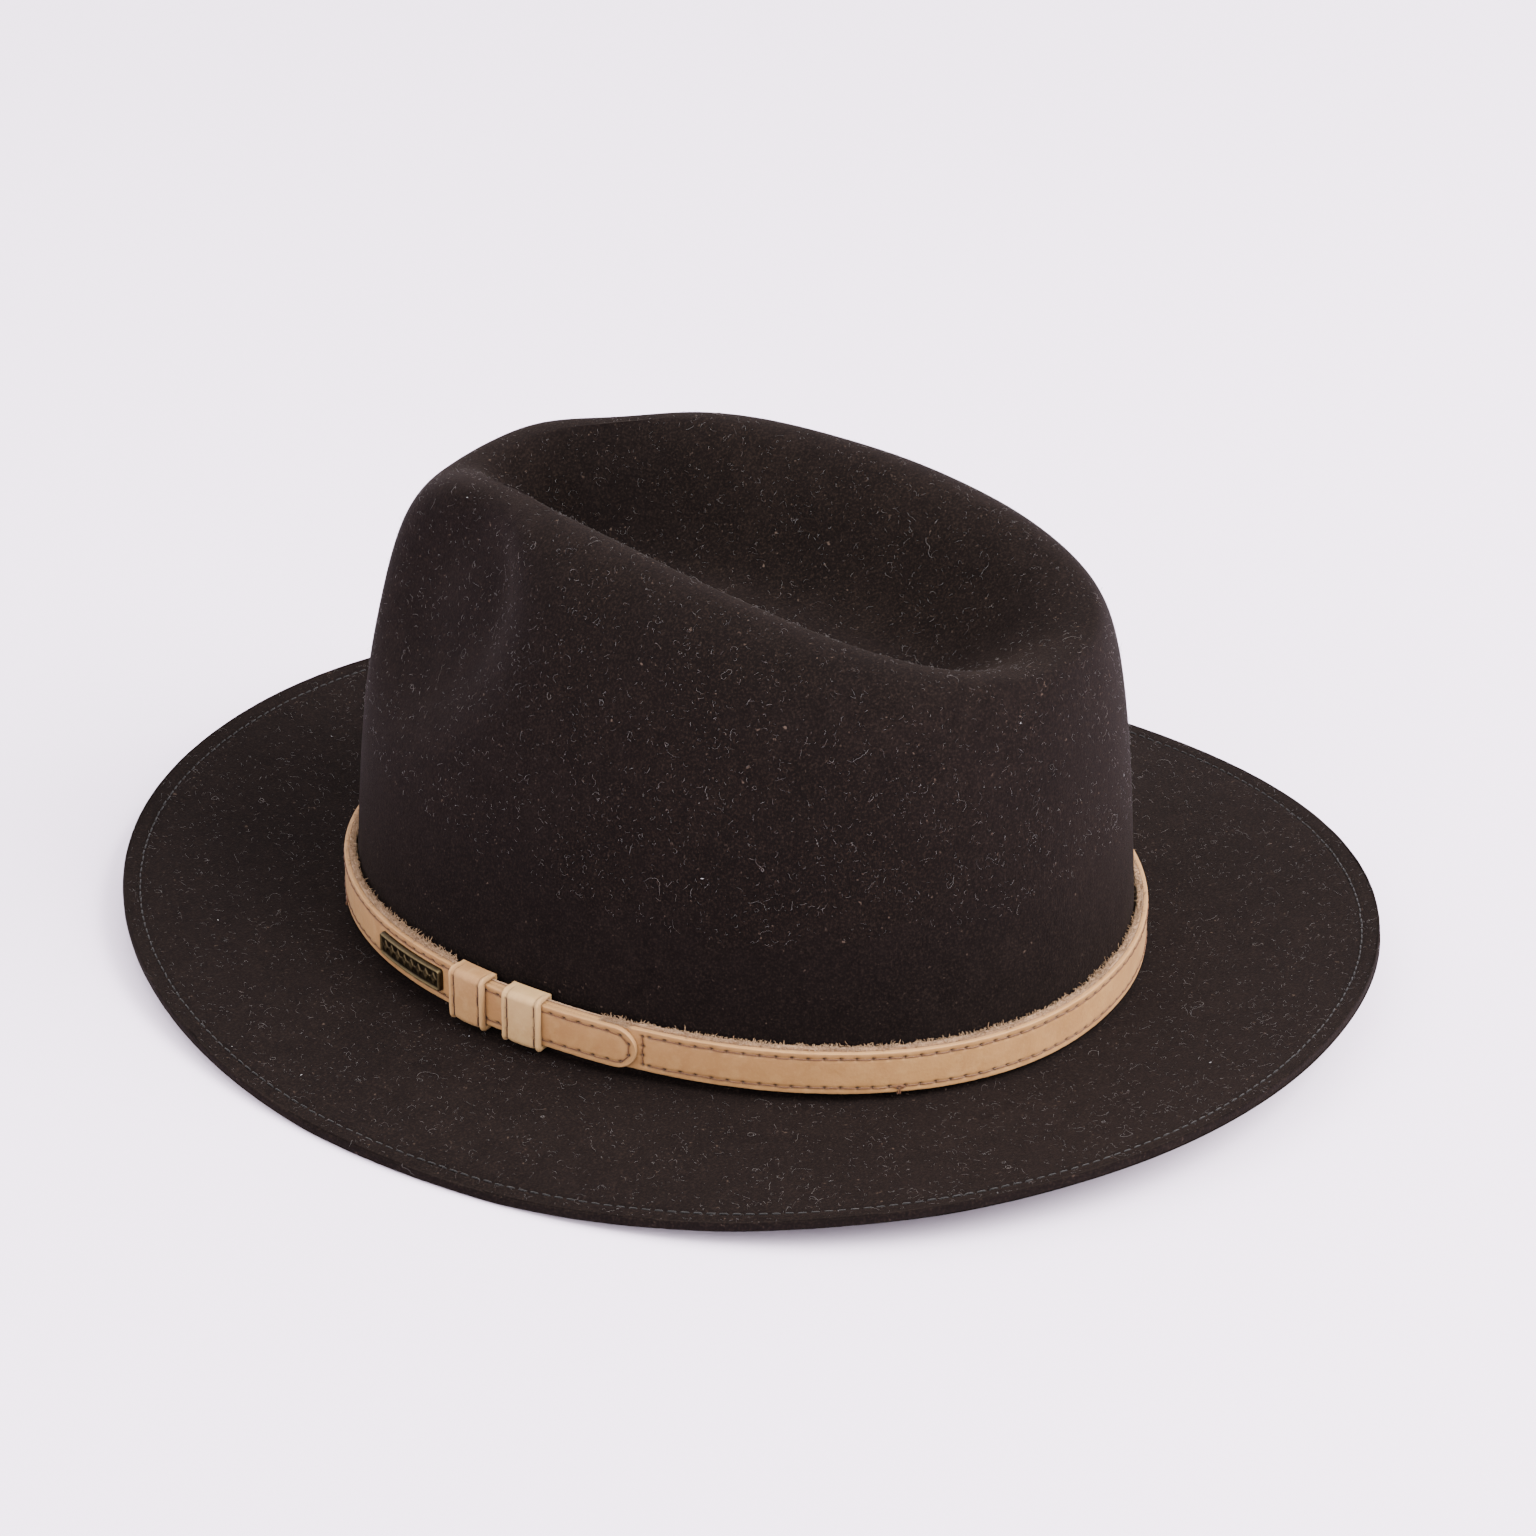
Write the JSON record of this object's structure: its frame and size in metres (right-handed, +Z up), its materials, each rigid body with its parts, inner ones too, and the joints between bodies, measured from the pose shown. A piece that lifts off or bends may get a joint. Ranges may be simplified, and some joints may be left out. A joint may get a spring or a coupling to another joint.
{
  "type": "felt hat",
  "caption": "Felt hat with a pinched teardrop crown, wide rolled brim and a stitched leather belt band with sliding keeper loops and a small plate.",
  "frame": {"origin": "under the middle of the brim, at the height of the surface that the brim rests on", "axes": "+Z up through the crown, -Y towards the front of the hat, +X towards the wearer's left, where the belt's plate and keepers are"},
  "size_m": [0.2948, 0.3332, 0.1224],
  "materials": {
    "felt": "matt brown wool felt with a short brushed nap",
    "felt_thread": "dark brown topstitching thread",
    "tan_leather": "smooth vegetable-tanned tan leather, semi-matt",
    "suede": "rough pale suede, matt",
    "pale_leather": "pale tan leather with bare cut edges",
    "brown_thread": "waxed brown thread",
    "brass": "antiqued brass with worn high spots",
    "sweat_leather": "smooth brown sweatband leather",
    "sweat_thread": "light brown thread",
    "reed_plastic": "off-white plastic reed",
    "tape": "woven dark tape",
    "ribbon": "dark grosgrain ribbon",
    "label": "blank woven off-white label",
    "satin": "satin lining with a soft sheen",
    "piping": "dark braided piping"
  },
  "bodies": {
    "hat": {"felt_body": "felt", "brim_edge_stitching": "felt_thread", "band_face": "tan_leather", "band_backing": "suede", "band_stitching_upper": "brown_thread", "band_stitching_lower": "brown_thread", "band_end_stitching": "brown_thread", "name_plate": "brass", "band_tacks": "brown_thread", "sweatband": "sweat_leather", "sweatband_reed": "reed_plastic", "sweatband_tape": "tape", "sweatband_stitching": "sweat_thread", "sweatband_seam": "sweat_thread", "sweatband_bow": "ribbon", "size_label": "label", "lining_wall": "satin", "lining_tip": "satin", "lining_piping": "piping"},
    "keeper_front": {"keeper_front": "pale_leather", "keeper_front_stitching": "brown_thread"},
    "keeper_rear": {"keeper_rear": "pale_leather", "keeper_rear_stitching": "brown_thread"}
  },
  "joints": [
    {"name": "keeper_front_slide", "type": "hinge", "parent": "hat", "child": "keeper_front", "pos_m": [-0.04141, -0.00419, 0.01345], "axis": [-0.0026, -0.0146, 0.9999], "range_deg": [-0.65, 0.65]},
    {"name": "keeper_rear_slide", "type": "hinge", "parent": "hat", "child": "keeper_rear", "pos_m": [-0.08785, -0.0007, 0.01365], "axis": [0, 0, 1], "range_deg": [-0.5, 4.6]}
  ]
}
